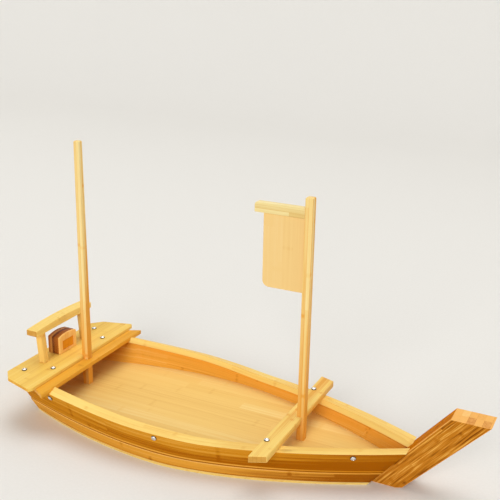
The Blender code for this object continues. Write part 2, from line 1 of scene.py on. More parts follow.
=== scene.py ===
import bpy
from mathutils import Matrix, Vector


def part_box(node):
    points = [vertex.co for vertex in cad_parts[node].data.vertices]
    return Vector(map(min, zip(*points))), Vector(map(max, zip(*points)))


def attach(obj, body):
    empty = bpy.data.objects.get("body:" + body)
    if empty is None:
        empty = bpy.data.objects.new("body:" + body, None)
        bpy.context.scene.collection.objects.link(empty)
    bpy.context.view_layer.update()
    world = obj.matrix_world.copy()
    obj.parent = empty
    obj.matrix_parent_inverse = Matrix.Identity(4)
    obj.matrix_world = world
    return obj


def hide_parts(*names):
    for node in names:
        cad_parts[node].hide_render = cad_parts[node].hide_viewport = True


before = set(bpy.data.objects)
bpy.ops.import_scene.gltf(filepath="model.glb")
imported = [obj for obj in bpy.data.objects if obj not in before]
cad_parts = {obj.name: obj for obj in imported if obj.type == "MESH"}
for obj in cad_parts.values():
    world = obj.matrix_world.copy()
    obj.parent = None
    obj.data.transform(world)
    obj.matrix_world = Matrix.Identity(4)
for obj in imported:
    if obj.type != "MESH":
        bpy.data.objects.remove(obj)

"""Looks of a laminated bamboo sushi boat, dressed on its packed construction model.

Every board keeps the solid that the construction model gives it. Its skin is welded and smooth shaded,
and carries a grain frame in millimetres, so that strips, fibres and culm nodes run as the board was cut.
"""
import logging
import math
from dataclasses import dataclass, field
from enum import Enum

import bmesh
import bpy
import numpy as np
from mathutils import Matrix, Vector

LOG = logging.getLogger("sushi_boat")
MM = 0.001
GRAIN = "grain_mm"
FOOT = "foot_mm"
SKIN_SHARP = math.radians(30.0)
FLAT_WITHIN = math.radians(0.01)
FILM_MM = 0.12
WELD = 1e-6
# Boards lie this many plies apart in the pattern, so that no two of them look alike.
PLIES_APART = 50
# A ping-pong folds a cell of the pattern about its middle, and so counts from the cell's edges.
HALF_CELL = 0.5
# Sockets of the Mix node for colours, whose names it shares with its other modes.
MIX_FACTOR, MIX_A, MIX_B, MIX_RESULT = 0, 6, 7, 2


class Slot(Enum):
    """Material slots that boards and screws name."""

    PALE = "pale_bamboo"
    CREAM = "cream_bamboo"
    GOLD = "gold_bamboo"
    BROWN = "brown_bamboo"
    STEEL = "screw_steel"


class Body(Enum):
    """Bodies of the construction model."""

    HULL = "hull"
    FLAG_MAST = "flag_mast"
    STERN_POLE = "stern_pole"


class Side(Enum):
    """Sides of the boat, as its nodes name them."""

    STARBOARD = "stbd"
    PORT = "port"


class Run(Enum):
    """Ways the fibres of a straight board run: the direction along them and the one across the strips."""

    LENGTHWISE = ((1.0, 0.0, 0.0), (0.0, 1.0, 0.0))
    ATHWART = ((0.0, 1.0, 0.0), (1.0, 0.0, 0.0))
    ATHWART_FROM_PORT = ((0.0, -1.0, 0.0), (1.0, 0.0, 0.0))
    UPRIGHT = ((0.0, 0.0, 1.0), (1.0, 0.0, 0.0))
    UPRIGHT_ATHWART = ((0.0, 0.0, 1.0), (0.0, 1.0, 0.0))


class Edge(Enum):
    """Long edges of a plank, by the way that the face beside them looks."""

    TOP = 1.0
    FOOT = -1.0


def linear(code: str) -> tuple[float, float, float, float]:
    """Turns an sRGB hex colour into a linear one.

    Args:
        code: Six hex digits, with or without a leading mark.

    Returns:
        Red, green, blue and full alpha.
    """
    values = [int(code.lstrip("#")[i:i + 2], 16) / 255 for i in (0, 2, 4)]
    return (*(v / 12.92 if v <= 0.04045 else ((v + 0.055) / 1.055) ** 2.4 for v in values), 1.0)


def add_node(tree: bpy.types.NodeTree, kind: str, inputs: dict | None = None, output: int | str = 0,
             **settings: object) -> bpy.types.NodeSocket:
    """Adds a node with its settings, and fills or links its inputs.

    Args:
        tree: Tree that takes the node.
        kind: Blender's name for the node's type.
        inputs: Value or output socket for each input, by name or number.
        output: Name or number of the output that is wanted.
        settings: Properties of the node.

    Returns:
        The wanted output of the new node.
    """
    node = tree.nodes.new(kind)
    for name, value in settings.items():
        setattr(node, name, value)
    for key, value in (inputs or {}).items():
        if isinstance(value, bpy.types.NodeSocket):
            tree.links.new(value, node.inputs[key])
        else:
            node.inputs[key].default_value = value
    return node.outputs[output]


def blank_material(name: str) -> tuple[bpy.types.Material, bpy.types.NodeTree, bpy.types.Node]:
    """Makes a material that holds only its surface shader.

    Args:
        name: Name of the finish.

    Returns:
        The material, its tree and its shader node.
    """
    material = bpy.data.materials.new(name)
    material.use_nodes = True
    tree = material.node_tree
    return material, tree, tree.nodes["Principled BSDF"]


def put_in_scene(name: str, form: bmesh.types.BMesh) -> bpy.types.Object:
    """Turns a form into an object in the scene, and frees the form.

    Args:
        name: Name of the object and its mesh.
        form: The form.

    Returns:
        The object.
    """
    mesh = bpy.data.meshes.new(name)
    form.to_mesh(mesh)
    form.free()
    made = bpy.data.objects.new(name, mesh)
    bpy.context.scene.collection.objects.link(made)
    return made


@dataclass(frozen=True)
class Bamboo:
    """Laminated bamboo, planed, sanded and varnished.

    Strips of split culm are glued edge to edge. Each strip keeps its own tone, straight fibres and a
    narrow brown band where the culm had a node, under a thin clear varnish. The tone runs from the dark
    colour at 0 through the middle one to the pale one at 1, and the depths and spreads are steps of it.

    Attributes:
        strip_mm, ply_mm: Width and depth of a strip.
        joint_mm, node_mm: Distance of its butt joints and of its culm nodes.
        streak_mm: Length, width and depth of a streak.
        strip_spread, streak_spread, fibre_spread: Swing of the tone among strips, streaks and fibres.
        node_depth, seam_depth: Darkening at a culm node and along a glue line.
        arris_painted_highlight: Painted highlight along the top edge.
        step_line_mm, step_line_depth: Place of the tone line below the top edge, and the step of tone
            there.
        foot_painted_highlight: Painted highlight on a band above a painted shadow line at a plank's foot.
        bow_painted_shade: Painted shade towards the bow.
        start_end_darkening: Darkening towards the end where the board's length starts.
    """

    name: str
    dark: str
    middle: str
    pale: str
    strip_mm: float
    ply_mm: float
    joint_mm: float = 420.0
    node_mm: float = 230.0
    streak_mm: tuple[float, float, float] = (240.0, 3.2, 3.2)
    strip_spread: float = 0.35
    streak_spread: float = 0.7
    fibre_spread: float = 0.5
    node_depth: float = 0.2
    seam_depth: float = 0.22
    arris_painted_highlight: float = 0.0
    step_line_mm: float = 0.0
    step_line_depth: float = 0.0
    foot_painted_highlight: float = 0.0
    bow_painted_shade: float = 0.0
    start_end_darkening: float = 0.0
    roughness: float = 0.45
    specular: float = 0.12
    coat: float = 0.02

    MIDDLE_TONE = 0.5
    # Fibres are about 0.2 mm thick, too fine to show, so they are drawn over four times as coarse.
    FIBRE_MM = (70.0, 0.9, 0.9)
    FIBRE_OCTAVES = 4.0
    STREAK_OCTAVES = 2.0
    LINE_ROUGHNESS = 0.6
    # Moves the pattern from stick to stick by amounts that don't repeat within the boat.
    STICK_SHIFT = (7.31, 3.17, 1.93)
    NODE_BAND_MM = 4.5
    # A glue line is a hair thick, and is drawn wide enough to show.
    SEAM_MM = 0.35
    # Painted highlight on the top arris, where the edge would catch the light.
    ARRIS_HIGHLIGHT_MM = (0.5, 1.3)
    STEP_LINE_BLUR_MM = 0.9
    # Painted shadow line in the seam at a plank's foot, and painted highlight on the band above it.
    FOOT_SHADOW_MM = (1.1, 1.5)
    FOOT_HIGHLIGHT_MM = (3.2, 4.2)
    FOOT_SHADE = 1.0
    # Stretch over which painted shade comes in towards the bow.
    BOW_SHADE_MM = (300.0, 560.0)
    START_END_MM = (0.0, 200.0)
    COAT_ROUGHNESS = 0.2
    IOR = 1.5
    RELIEF_M = 0.00004
    RELIEF_STRENGTH = 0.35
    ROUGHNESS_SWING = 0.06
    # Most streaks lie in this part of their pattern's range.
    STREAK_RANGE = (0.3, 0.7)

    def material(self) -> bpy.types.Material:
        """Builds the finish, or finds it if it is there already.

        Returns:
            The material, which reads the grain frame of the board that it is on.
        """
        found = bpy.data.materials.get(self.name)
        if found is not None:
            return found
        material, tree, shader = blank_material(self.name)
        grain = add_node(tree, "ShaderNodeAttribute", output="Vector", attribute_name=GRAIN)
        tone, fibre, streak = self.figure(tree, grain)
        colour = add_node(tree, "ShaderNodeValToRGB", {"Fac": self.edges(tree, grain, tone)})
        ramp = colour.node.color_ramp
        ramp.interpolation = "EASE"
        ramp.elements[0].color = linear(self.dark)
        ramp.elements[1].color = linear(self.pale)
        ramp.elements.new(self.MIDDLE_TONE).color = linear(self.middle)
        gloss = add_node(tree, "ShaderNodeMapRange", {
            "Value": streak, "From Min": self.STREAK_RANGE[0], "From Max": self.STREAK_RANGE[1],
            "To Min": self.roughness + self.ROUGHNESS_SWING,
            "To Max": self.roughness - self.ROUGHNESS_SWING})
        relief = add_node(tree, "ShaderNodeBump", {
            "Strength": self.RELIEF_STRENGTH, "Distance": self.RELIEF_M, "Height": fibre})
        for socket, source in (("Base Color", colour), ("Roughness", gloss), ("Normal", relief)):
            tree.links.new(source, shader.inputs[socket])
        shader.inputs["IOR"].default_value = self.IOR
        shader.inputs["Specular IOR Level"].default_value = self.specular
        shader.inputs["Coat Weight"].default_value = self.coat
        shader.inputs["Coat Roughness"].default_value = self.COAT_ROUGHNESS
        return material

    def figure(self, tree: bpy.types.NodeTree,
               grain: bpy.types.NodeSocket) -> tuple[bpy.types.NodeSocket, ...]:
        """Draws strips, fibres, culm nodes and glue lines.

        Args:
            tree: The finish's node tree.
            grain: Place in the board, in millimetres along, across and through it.

        Returns:
            The tone from 0, dark, to 1, pale, the fibre pattern and the broad streaks.
        """
        cells = add_node(tree, "ShaderNodeVectorMath", {
            0: grain, 1: (1.0, self.strip_mm, self.ply_mm)}, operation="DIVIDE")
        strip = add_node(tree, "ShaderNodeVectorMath", {
            0: add_node(tree, "ShaderNodeVectorMath", {0: cells}, operation="FLOOR"),
            1: (0.0, 1.0, 1.0)}, operation="MULTIPLY")
        chance = add_node(tree, "ShaderNodeSeparateXYZ", {
            0: add_node(tree, "ShaderNodeTexWhiteNoise", {"Vector": strip}, "Color")}).node.outputs
        along = add_node(tree, "ShaderNodeSeparateXYZ", {0: grain})
        length = add_node(tree, "ShaderNodeMath", {0: add_node(tree, "ShaderNodeMath", {
            0: along, 1: 1.0 / self.joint_mm, 2: chance[0]}, operation="MULTIPLY_ADD")},
            operation="FLOOR")
        stick = add_node(tree, "ShaderNodeVectorMath", {
            0: strip, 1: add_node(tree, "ShaderNodeCombineXYZ", {0: length})}, operation="ADD")
        fibre = self.lines(tree, grain, stick, self.FIBRE_MM, self.FIBRE_OCTAVES)
        streak = self.lines(tree, grain, stick, self.streak_mm, self.STREAK_OCTAVES)
        own = add_node(tree, "ShaderNodeTexWhiteNoise", {"Vector": stick})
        tone = self.MIDDLE_TONE - (self.strip_spread + self.streak_spread + self.fibre_spread) / 2
        for source, spread in (
                (own, self.strip_spread), (streak, self.streak_spread), (fibre, self.fibre_spread)):
            tone = add_node(tree, "ShaderNodeMath", {
                0: source, 1: spread, 2: tone}, operation="MULTIPLY_ADD")
        from_node = add_node(tree, "ShaderNodeMath", {0: add_node(tree, "ShaderNodeMath", {
            0: along, 1: 1.0 / self.node_mm, 2: chance[1]}, operation="MULTIPLY_ADD"), 1: HALF_CELL},
            operation="PINGPONG")
        node_band = add_node(tree, "ShaderNodeMapRange", {
            "Value": from_node, "From Max": self.NODE_BAND_MM / self.node_mm,
            "To Min": -self.node_depth, "To Max": 0.0}, interpolation_type="SMOOTHSTEP")
        across = add_node(tree, "ShaderNodeSeparateXYZ", {0: cells}, 1)
        seam = add_node(tree, "ShaderNodeMapRange", {
            "Value": add_node(tree, "ShaderNodeMath", {0: across, 1: HALF_CELL}, operation="PINGPONG"),
            "From Max": self.SEAM_MM / self.strip_mm, "To Min": -self.seam_depth, "To Max": 0.0})
        for mark in (node_band, seam):
            tone = add_node(tree, "ShaderNodeMath", {0: tone, 1: mark}, operation="ADD")
        return tone, fibre, streak

    def edges(self, tree: bpy.types.NodeTree, grain: bpy.types.NodeSocket,
              tone: bpy.types.NodeSocket) -> bpy.types.NodeSocket:
        """Adds the painted highlight on the top arris, the step of tone, painted shade towards the bow,
        the darker start, and the painted highlight and shadow at the foot, where the finish has them.

        Args:
            tree: The finish's node tree.
            grain: Place in the board.
            tone: Tone of the board without them.

        Returns:
            The tone with them.
        """
        along, across, _ = add_node(tree, "ShaderNodeSeparateXYZ", {0: grain}).node.outputs
        foot = add_node(tree, "ShaderNodeAttribute", output="Fac", attribute_name=FOOT)
        step_line = (self.step_line_mm - self.STEP_LINE_BLUR_MM, self.step_line_mm + self.STEP_LINE_BLUR_MM)
        # Painted shadow along the seam at the very foot, under the painted highlight band.
        shade = -self.foot_painted_highlight - self.FOOT_SHADE if self.foot_painted_highlight else 0.0
        for place, reach, near, far in (
                (across, self.ARRIS_HIGHLIGHT_MM, self.arris_painted_highlight, 0.0),
                (across, step_line, self.step_line_depth / 2, -self.step_line_depth / 2),
                (along, self.BOW_SHADE_MM[::-1], -self.bow_painted_shade, 0.0),
                (along, self.START_END_MM, -self.start_end_darkening, 0.0),
                (foot, self.FOOT_HIGHLIGHT_MM, self.foot_painted_highlight, 0.0),
                (foot, self.FOOT_SHADOW_MM, shade, 0.0)):
            if near:
                step = add_node(tree, "ShaderNodeMapRange", {
                    "Value": place, "From Min": reach[0], "From Max": reach[1],
                    "To Min": near, "To Max": far})
                tone = add_node(tree, "ShaderNodeMath", {0: tone, 1: step}, operation="ADD")
        return tone

    def lines(self, tree: bpy.types.NodeTree, grain: bpy.types.NodeSocket, stick: bpy.types.NodeSocket,
              size_mm: tuple[float, float, float], detail: float) -> bpy.types.NodeSocket:
        """Draws lines along the fibres, unlike from stick to stick.

        Args:
            tree: The finish's node tree.
            grain: Place in the board.
            stick: Number of the stick of bamboo.
            size_mm: Length, width and depth of a line.
            detail: Octaves of the pattern.

        Returns:
            The pattern, from 0 to 1.
        """
        scaled = add_node(tree, "ShaderNodeVectorMath", {0: grain, 1: size_mm}, operation="DIVIDE")
        moved = add_node(tree, "ShaderNodeVectorMath", {
            0: stick, 1: self.STICK_SHIFT, 2: scaled}, operation="MULTIPLY_ADD")
        return add_node(tree, "ShaderNodeTexNoise", {
            "Vector": moved, "Scale": 1.0, "Detail": detail, "Roughness": self.LINE_ROUGHNESS})


@dataclass(frozen=True)
class PlatedSteel:
    """Zinc-plated steel, cold-headed and tumbled bright.

    The crown is polished by the tumbling and gives a hard pale glint. The outer rim of the head is
    painted dark, as painted shade and a painted dark reflection around the crown.
    """

    name: str = "tumbled_zinc_plated_steel"
    bright: str = "#F4F3F0"
    mark: str = "#D2D0CB"
    # Colour of the painted shade and painted dark reflection at the rim of the head.
    rim_painted_shade: str = "#4A3B2C"
    roughness: float = 0.22
    metallic: float = 1.0
    mark_mm: float = 0.6
    rim_shade_mm: tuple[float, float] = (3.0, 3.6)

    MARK_OCTAVES = 3.0
    MARK_RANGE = (0.3, 0.7)
    ROUGHNESS_SWING = (-0.06, 0.1)

    def material(self) -> bpy.types.Material:
        """Builds the finish, or finds it if it is there already.

        Returns:
            The material, which reads places about the screw's own axis.
        """
        found = bpy.data.materials.get(self.name)
        if found is not None:
            return found
        material, tree, shader = blank_material(self.name)
        place = add_node(tree, "ShaderNodeTexCoord", output="Object")
        marks = add_node(tree, "ShaderNodeTexNoise", {
            "Vector": place, "Scale": 1.0 / (self.mark_mm * MM), "Detail": self.MARK_OCTAVES})
        metal = add_node(tree, "ShaderNodeMix", {
            MIX_FACTOR: marks, MIX_A: linear(self.bright), MIX_B: linear(self.mark)},
            MIX_RESULT, data_type="RGBA")
        flat = add_node(tree, "ShaderNodeVectorMath", {
            0: place, 1: (1.0, 1.0, 0.0)}, operation="MULTIPLY")
        # Painted shade: the head turns dark towards its outer rim, in place of shade and a dark
        # reflection.
        rim_shade_mask = add_node(tree, "ShaderNodeMapRange", {
            "Value": add_node(tree, "ShaderNodeVectorMath", {0: flat}, "Value", operation="LENGTH"),
            "From Min": self.rim_shade_mm[0] * MM, "From Max": self.rim_shade_mm[1] * MM})
        tint = add_node(tree, "ShaderNodeMix", {
            MIX_FACTOR: rim_shade_mask, MIX_A: metal, MIX_B: linear(self.rim_painted_shade)}, MIX_RESULT, data_type="RGBA")
        gloss = add_node(tree, "ShaderNodeMapRange", {
            "Value": marks, "From Min": self.MARK_RANGE[0], "From Max": self.MARK_RANGE[1],
            "To Min": self.roughness + self.ROUGHNESS_SWING[0],
            "To Max": self.roughness + self.ROUGHNESS_SWING[1]})
        tree.links.new(tint, shader.inputs["Base Color"])
        tree.links.new(gloss, shader.inputs["Roughness"])
        shader.inputs["Metallic"].default_value = self.metallic
        return material


@dataclass(frozen=True)
class StudioPaper:
    """Matt studio paper: an even pale sheet with a very faint tooth."""

    name: str = "matt_studio_paper"
    colour: str = "#E9E7E3"
    shade: str = "#E3E1DC"
    tooth_mm: float = 4.0
    roughness: float = 0.9

    TOOTH_OCTAVES = 2.0

    def material(self) -> bpy.types.Material:
        """Builds the finish.

        Returns:
            The material.
        """
        material, tree, shader = blank_material(self.name)
        place = add_node(tree, "ShaderNodeTexCoord", output="Object")
        tooth = add_node(tree, "ShaderNodeTexNoise", {
            "Vector": place, "Scale": 1.0 / (self.tooth_mm * MM), "Detail": self.TOOTH_OCTAVES})
        tint = add_node(tree, "ShaderNodeMix", {
            MIX_FACTOR: tooth, MIX_A: linear(self.colour), MIX_B: linear(self.shade)},
            MIX_RESULT, data_type="RGBA")
        tree.links.new(tint, shader.inputs["Base Color"])
        shader.inputs["Roughness"].default_value = self.roughness
        return material


# Planed and varnished, from the inside of the culm: straw yellow in long even strips with a soft sheen.
GUNWALE_STOCK = Bamboo("varnished_natural_bamboo", "#ECBC60", "#F8D67A", "#FCE598", 8.2, 8.2,
                       strip_spread=0.25)
# Planed and varnished in wide strips: straw yellow with faint streaks and a few node bands.
DECK_STOCK = Bamboo("varnished_natural_bamboo_deck", "#DDA344", "#F3C961", "#FADB84", 9.0, 20.0,
                    node_mm=190.0)
# Planed and varnished: honey yellow, partly its own tone and partly painted shade, so that the edge below
# the deck looks deeper than it.
BEAM_STOCK = Bamboo("varnished_honey_bamboo_and_painted_shade", "#C47F20", "#E9A836", "#F5C156", 9.0, 20.0, node_mm=190.0)
# Sawn square, sanded and varnished: cream yellow with fine upright fibres, and painted shade towards the
# foot.
MAST_STOCK = Bamboo("varnished_pale_bamboo", "#EAA640", "#F5D58A", "#FBEBB0", 5.25, 5.25, node_mm=170.0,
                    strip_spread=0.45, seam_depth=0.5, start_end_darkening=0.4)
# Planed and varnished in narrow strips: bright straw yellow with fine lines across the boat.
CROSS_STOCK = Bamboo("varnished_straw_bamboo", "#DDAA4C", "#F8D476", "#FCE698", 5.25, 5.25, node_mm=170.0)
# Planed and varnished: straw yellow that turns to honey towards the port end.
BOW_BEAM_STOCK = Bamboo("varnished_straw_bamboo_darker_end", "#E8A23C", "#F8D476", "#FCE698", 5.25, 5.25,
                        node_mm=170.0, streak_spread=0.5, start_end_darkening=0.3)
# Cross-cut and varnished: the open fibres drink the varnish, so that a bar's ends look browner.
BAR_END_STOCK = Bamboo("varnished_bamboo_end_grain", "#B27A2A", "#D29A42", "#E2B460", 5.25, 5.25,
                       streak_spread=0.3, fibre_spread=0.4)
# Sawn square, sanded and varnished: warmer than the masts, with upright fibres.
GATE_STOCK = Bamboo("varnished_pale_bamboo_gate", "#E2A452", "#F7CC70", "#FCE29C", 5.25, 5.25,
                    node_mm=170.0, strip_spread=0.4)
# Sanded fine and varnished: the palest bar of the boat, nearly plain.
YARD_STOCK = Bamboo("sanded_ivory_bamboo", "#E2BE72", "#F4E0A0", "#FAF0C8", 5.25, 5.25, node_mm=260.0)
# Veneered and varnished: an even cream field with the faintest upright grain.
FLAG_STOCK = Bamboo("varnished_cream_bamboo_veneer", "#E6B66C", "#F3CE88", "#F9DFA8", 14.0, 8.0,
                    strip_spread=0.2, streak_spread=0.4, fibre_spread=0.3, seam_depth=0.1, node_depth=0.1)
# Planed and varnished in broad strips: a plain warm floor with faint joints.
FLOOR_STOCK = Bamboo("varnished_cream_bamboo", "#DDA850", "#F1C874", "#F9DD96", 18.0, 12.0,
                     streak_spread=0.5, node_depth=0.1)
# Steamed amber and varnished: golden above a line 13 mm under the top edge, brown below it.
# Painted highlight over a painted shadow line at the foot, and painted shade towards the bow.
UPPER_PLANK_STOCK = Bamboo("varnished_amber_bamboo_top", "#A65C04", "#CE881C", "#E6A844", 26.0, 4.0,
                           streak_spread=1.2, strip_spread=0.15, seam_depth=0.0, step_line_mm=13.0,
                           step_line_depth=0.37, foot_painted_highlight=0.7, bow_painted_shade=0.55, specular=0.0, coat=0.05)
# Steamed amber and varnished, the culm's inside turned inboard: a warm even orange gold.
INNER_PLANK_STOCK = Bamboo("varnished_amber_bamboo_lining", "#BE741A", "#EAA63E", "#F3BE66", 13.0, 4.0,
                           streak_spread=1.2, specular=0.0, coat=0.05)
# Steamed amber and varnished: golden brown with long streaks, and a painted highlight along the top
# arris.
# Painted shade towards the bow.
LOWER_PLANK_STOCK = Bamboo("varnished_amber_bamboo", "#A45C0A", "#E4A038", "#F2BC60", 8.2, 4.0,
                           strip_spread=0.15, streak_spread=1.2, arris_painted_highlight=0.6, bow_painted_shade=0.65,
                           specular=0.0, coat=0.05)
# Steamed amber, glued up as a block and varnished: short mottled streaks up the rake.
STEM_STOCK = Bamboo("varnished_amber_bamboo_block", "#7E4206", "#C47A1E", "#ECB050", 6.4, 6.52,
                    joint_mm=300.0, node_mm=150.0, streak_mm=(42.0, 2.3, 2.3), streak_spread=2.0,
                    fibre_spread=0.8, specular=0.0, coat=0.05)
# Cross-cut and sanded: the strips show as pale squares, a few of them brown.
STEM_END_STOCK = Bamboo("sanded_bamboo_end_grain", "#C4742A", "#F4B45C", "#FBD48C", 7.2, 16.3,
                        strip_spread=0.6, streak_spread=0.3, fibre_spread=0.4, seam_depth=0.15)
# Planed along the glue lines and varnished: a clear orange back with a few long streaks.
STEM_BACK_STOCK = Bamboo("varnished_orange_bamboo_block", "#B4620A", "#E88C06", "#F5A828", 13.0, 6.52,
                         joint_mm=300.0, node_mm=150.0, streak_spread=1.2, specular=0.0, coat=0.05)
# Carbonised by steam and varnished: brown and orange boards side by side, which carry on over the crown.
BOX_STOCK = Bamboo("varnished_carbonised_bamboo", "#74380A", "#AE641E", "#DA9A50", 3.9, 60.0,
                   strip_spread=1.1)
# Planed and varnished: the clear orange of a thin panel.
PANEL_STOCK = Bamboo("varnished_orange_bamboo", "#D47C06", "#F09E1A", "#F7B242", 7.0, 20.0)
# Planed and varnished: a pale orange frame with upright strips.
FRAME_STOCK = Bamboo("varnished_apricot_bamboo", "#F4AC50", "#FEC972", "#FFDF9E", 7.0, 20.0)


@dataclass
class Board:
    """One straight board or bar, dressed over its construction solid.

    Its number sets its place in the pattern. A face is a cut end where its normal leans along the fibres
    by more than the cosine endward.
    """

    node: str
    finish: Bamboo
    slot: Slot
    number: int
    run: Run = Run.LENGTHWISE
    body: Body = Body.HULL
    accents: tuple[Bamboo, ...] = ()
    endward: float = 0.9

    def build(self) -> bpy.types.Object:
        """Makes the board's skin, lays its grain and gives it its finish.

        Returns:
            The finished piece.
        """
        piece = self.skin()
        mesh = piece.data
        points = np.array([v.co for v in mesh.vertices]) / MM
        places = self.grain(mesh, points)
        places[:, 2] += self.number * PLIES_APART * self.finish.ply_mm
        self.keep(mesh, GRAIN, "FLOAT_VECTOR", places)
        for finish in (self.finish, *self.accents):
            mesh.materials.append(finish.material())
        mesh.polygons.foreach_set("material_index", self.dressed(mesh))
        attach(piece, self.body.value)
        if self.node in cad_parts:
            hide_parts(self.node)
        LOG.info("%s: %s, %d faces", piece.name, self.finish.name, len(mesh.polygons))
        return piece

    def skin(self) -> bpy.types.Object:
        """Welds the solid's facets into one smooth-shaded skin, under a film of varnish.

        Returns:
            The skin as a new object. The film nearly fills the joints, as it does on the real boat.
        """
        form = bmesh.new()
        form.from_mesh(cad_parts[self.node].data)
        bmesh.ops.remove_doubles(form, verts=form.verts, dist=WELD)
        form.normal_update()
        film = [(v, v.normal * v.calc_shell_factor() * FILM_MM * MM) for v in form.verts]
        for vert, move in film:
            vert.co += move
            vert.co.z = max(vert.co.z, 0.0)
        bmesh.ops.dissolve_limit(form, angle_limit=FLAT_WITHIN, verts=form.verts, edges=form.edges)
        return self.smoothed(form)

    def smoothed(self, form: bmesh.types.BMesh) -> bpy.types.Object:
        """Puts a form into the scene with smooth curves and sharp corners.

        Args:
            form: The form, which is freed.

        Returns:
            The new object.
        """
        piece = put_in_scene(self.node + "_wood", form)
        piece.data.shade_smooth()
        piece.data.set_sharp_from_angle(angle=SKIN_SHARP)
        soften = piece.modifiers.new("even_faces", "WEIGHTED_NORMAL")
        soften.keep_sharp = True
        return piece

    def grain(self, mesh: bpy.types.Mesh, points: np.ndarray) -> np.ndarray:
        """Grain frame of a straight board.

        Args:
            mesh: The board's skin.
            points: Places of its points, in millimetres.

        Returns:
            Places along, across and through the board, in millimetres.
        """
        along, across = (np.array(axis) for axis in self.run.value)
        places = points @ np.array([along, across, np.cross(along, across)]).T
        return places - places.min(axis=0)

    def dressed(self, mesh: bpy.types.Mesh) -> list[int]:
        """Gives each face its finish: the second to the cut ends, where there is one.

        Args:
            mesh: The board's skin.

        Returns:
            The place of each face's finish.
        """
        if not self.accents:
            return [0] * len(mesh.polygons)
        along = np.array(self.run.value[0])
        return [int(abs(along @ face.normal) > self.endward) for face in mesh.polygons]

    @staticmethod
    def keep(mesh: bpy.types.Mesh, name: str, kind: str, values: np.ndarray) -> None:
        """Keeps a value for each point on the mesh.

        Args:
            mesh: The board's skin.
            name: Name that the finish reads.
            kind: Blender's name for the type of value.
            values: One row for each point.
        """
        layer = mesh.attributes.new(name, kind, "POINT")
        part = "vector" if kind == "FLOAT_VECTOR" else "value"
        layer.data.foreach_set(part, values.astype(np.float32).ravel())


@dataclass
class RakedTimber(Board):
    """The stem, whose fibres run up its rake and whose head shows them cut across.

    Its faces are told apart by how far their normals lean up, athwart and aft.
    """

    level: float = 0.95
    arris: tuple[float, float] = (0.3, 0.95)
    aftward: float = -0.3
    corner_mm: float = 1.0

    def grain(self, mesh: bpy.types.Mesh, points: np.ndarray) -> np.ndarray:
        """Grain frame turned to the aft edge of the stem.

        Args:
            mesh: The stem's skin.
            points: Places of its points, in millimetres.

        Returns:
            Places along, across and through the stem, in millimetres.
        """
        low, high = points[:, 2].min() + self.corner_mm, points[:, 2].max() - self.corner_mm
        foot = min((p for p in points if p[2] < low), key=lambda p: p[0])
        head = min((p for p in points if p[2] > high), key=lambda p: p[0])
        along = np.array([head[0] - foot[0], 0.0, head[2] - foot[2]])
        along /= np.linalg.norm(along)
        through = np.array([0.0, 1.0, 0.0])
        places = points @ np.array([along, np.cross(through, along), through]).T
        return places - places.min(axis=0)

    def dressed(self, mesh: bpy.types.Mesh) -> list[int]:
        """Gives each face its finish: the second to level cuts and sanded arrises, the third to the back.

        Args:
            mesh: The stem's skin.

        Returns:
            The place of each face's finish.
        """
        finishes = []
        for face in mesh.polygons:
            sanded = abs(face.normal.z) > self.level or self.arris[0] < abs(face.normal.y) < self.arris[1]
            finishes.append(1 if sanded else 2 if face.normal.x < self.aftward else 0)
        return finishes


@dataclass
class Plank(Board):
    """A hull plank, whose strips follow its own top edge.

    Its faces are told apart by how far their normals lean up and outward.
    """

    thickness_mm: float = 8.0
    sheer_degree: int = 6
    sheer_marks: int = 18
    level: float = 0.8
    outward: float = 0.5
    edge_face_mm2: float = 20.0

    def grain(self, mesh: bpy.types.Mesh, points: np.ndarray) -> np.ndarray:
        """Grain frame that follows the sheer and the curve of the side.

        Args:
            mesh: The plank's skin.
            points: Places of its points, in millimetres.

        Returns:
            Places along the plank, below its top edge and in from its outer face, in millimetres.
        """
        hand = self.hand(mesh)
        outer = {v for face in mesh.polygons if face.normal.y * hand > self.outward
                 for v in face.vertices}
        x, _, z = points.T
        foot = self.rail(mesh, points, outer, Edge.FOOT)
        self.keep(mesh, FOOT, "FLOAT", np.abs(z - np.interp(x, foot[:, 0], foot[:, 2])))
        top = self.rail(mesh, points, outer, Edge.TOP)
        marks = np.linspace(top[0, 0], top[-1, 0], self.sheer_marks + 1)
        stretches = [top[(top[:, 0] >= low) & (top[:, 0] <= high)]
                     for low, high in zip(marks, marks[1:])]
        crest = np.array([stretch[stretch[:, 2].argmax()] for stretch in stretches if len(stretch)])
        sheer = np.polynomial.Polynomial.fit(crest[:, 0], crest[:, 2], self.sheer_degree)
        inset = np.full(len(points), self.thickness_mm)
        inset[sorted(outer)] = 0.0
        return np.stack([x - x.min(), np.maximum(sheer(x) - z, 0.0), inset], axis=1)

    def rail(self, mesh: bpy.types.Mesh, points: np.ndarray, outer: set[int], edge: Edge) -> np.ndarray:
        """Points along one long edge of the outer face.

        Args:
            mesh: The plank's skin.
            points: Places of its points, in millimetres.
            outer: Numbers of the points on the outer face.
            edge: The edge that is wanted.

        Returns:
            The edge's points from stern to bow, in millimetres.
        """
        beside = set()
        for face in mesh.polygons:
            # Walls of the screw holes look up and down too, and are told from the edges by size.
            if face.normal.z * edge.value > self.level and face.area > self.edge_face_mm2 * MM ** 2:
                beside.update(face.vertices)
        line = points[sorted(outer & beside)]
        return line[np.argsort(line[:, 0])]

    def dressed(self, mesh: bpy.types.Mesh) -> list[int]:
        """Gives each face its finish: the second to the top, paler partly as painted light, and the third
        to the inside, if any.

        Args:
            mesh: The plank's skin.

        Returns:
            The place of each face's finish.
        """
        if not self.accents:
            return super().dressed(mesh)
        hand = self.hand(mesh)
        # The top takes the pale gunwale finish: partly the edge grain's own tone, partly painted light on
        # a face that looks up.
        return [1 if face.normal.z > self.level else 2 if face.normal.y * hand < -self.outward else 0
                for face in mesh.polygons]

    @staticmethod
    def hand(mesh: bpy.types.Mesh) -> float:
        """Tells the side of the boat that a plank is on: 1 to port, -1 to starboard."""
        return math.copysign(1.0, sum(v.co.y for v in mesh.vertices))


